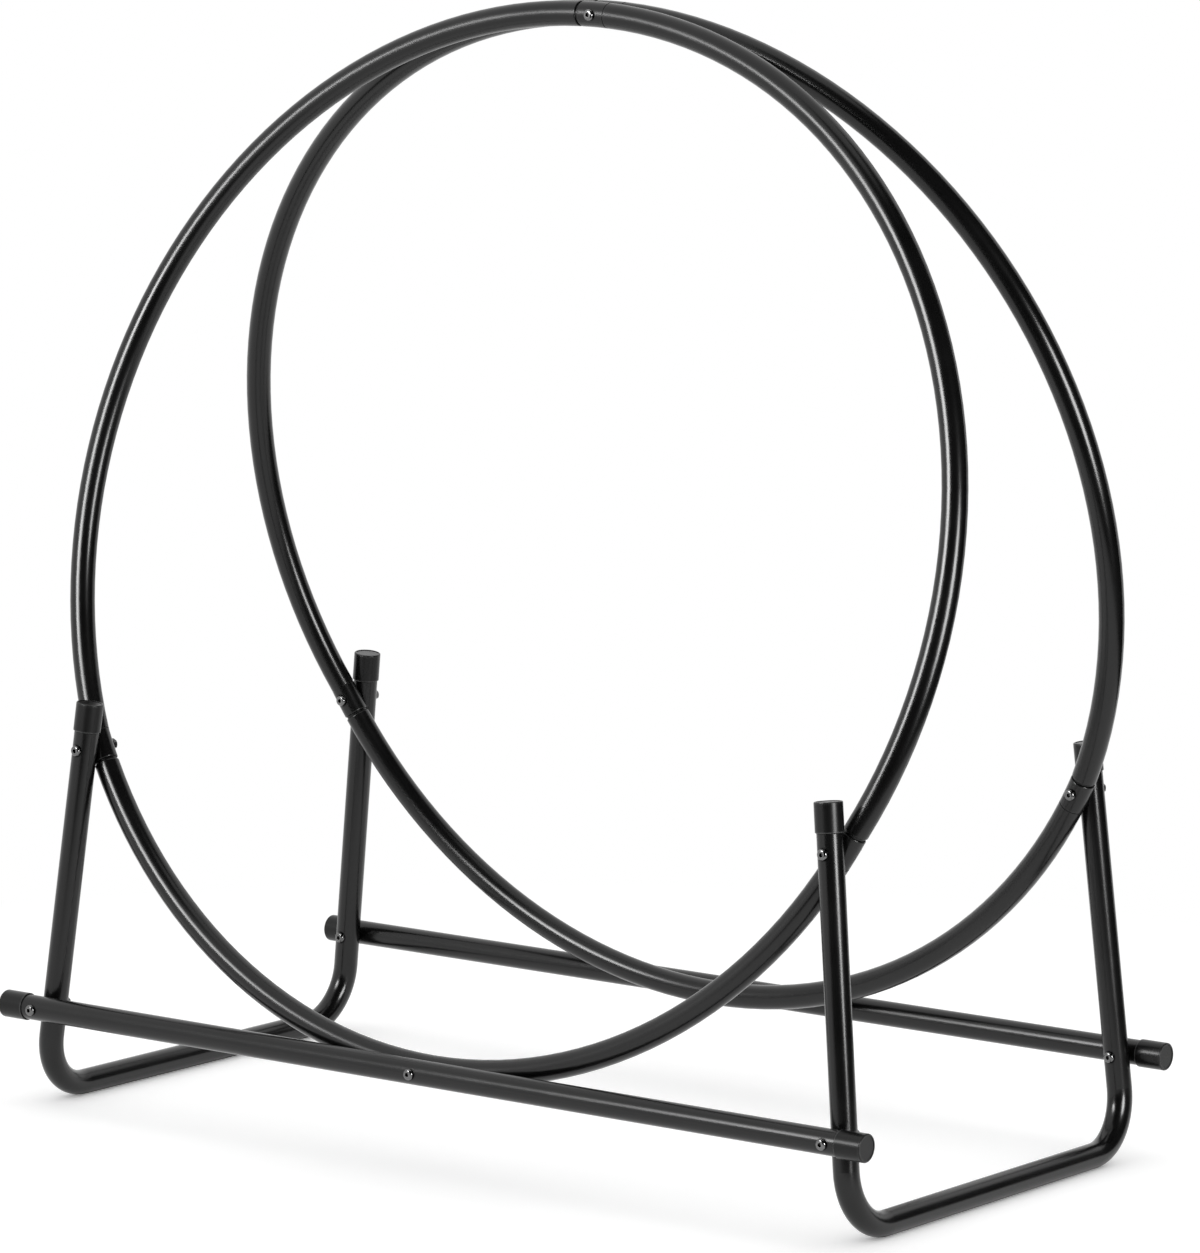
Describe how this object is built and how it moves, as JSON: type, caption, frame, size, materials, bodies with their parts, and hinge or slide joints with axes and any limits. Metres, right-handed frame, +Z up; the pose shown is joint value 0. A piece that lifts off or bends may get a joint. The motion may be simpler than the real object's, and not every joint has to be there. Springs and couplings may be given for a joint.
{
  "type": "firewood log rack",
  "caption": "Free-standing round firewood rack: leaning tube hoops joined at the top, held by bent leg frames and cross bars, bolted together from sliding-joint tubes.",
  "frame": {"origin": "on the floor, midway between the two leg frames and midway between the two hoops", "axes": "+Z up, +X to the right as seen from the front, front bar towards -Y"},
  "size_m": [1.0159, 0.5399, 1.077],
  "materials": {
    "black_coat": "satin black powder coat on steel tube",
    "cap_plastic": "matte black moulded plastic",
    "fastener_steel": "dark zinc plated steel"
  },
  "bodies": {
    "root": {"bar_to_hoop_bolts": "fastener_steel", "bar_to_hoop_nuts": "fastener_steel", "bar_to_leg_bolts": "fastener_steel", "bar_to_leg_nuts": "fastener_steel", "front_bar": "black_coat", "front_hoop_lower": "black_coat", "front_hoop_upper_left": "black_coat", "front_hoop_upper_right": "black_coat", "front_left_bar_cap": "cap_plastic", "front_left_leg_cap": "cap_plastic", "front_right_bar_cap": "cap_plastic", "front_right_leg_cap": "cap_plastic", "hoop_top_bolt": "fastener_steel", "hoop_top_nut": "fastener_steel", "left_leg_frame": "black_coat", "leg_to_hoop_bolts": "fastener_steel", "leg_to_hoop_nuts": "fastener_steel", "rear_bar": "black_coat", "rear_hoop_lower": "black_coat", "rear_hoop_upper_left": "black_coat", "rear_hoop_upper_right": "black_coat", "rear_left_bar_cap": "cap_plastic", "rear_left_leg_cap": "cap_plastic", "rear_right_bar_cap": "cap_plastic", "rear_right_leg_cap": "cap_plastic", "right_leg_frame": "black_coat"}
  },
  "joints": []
}
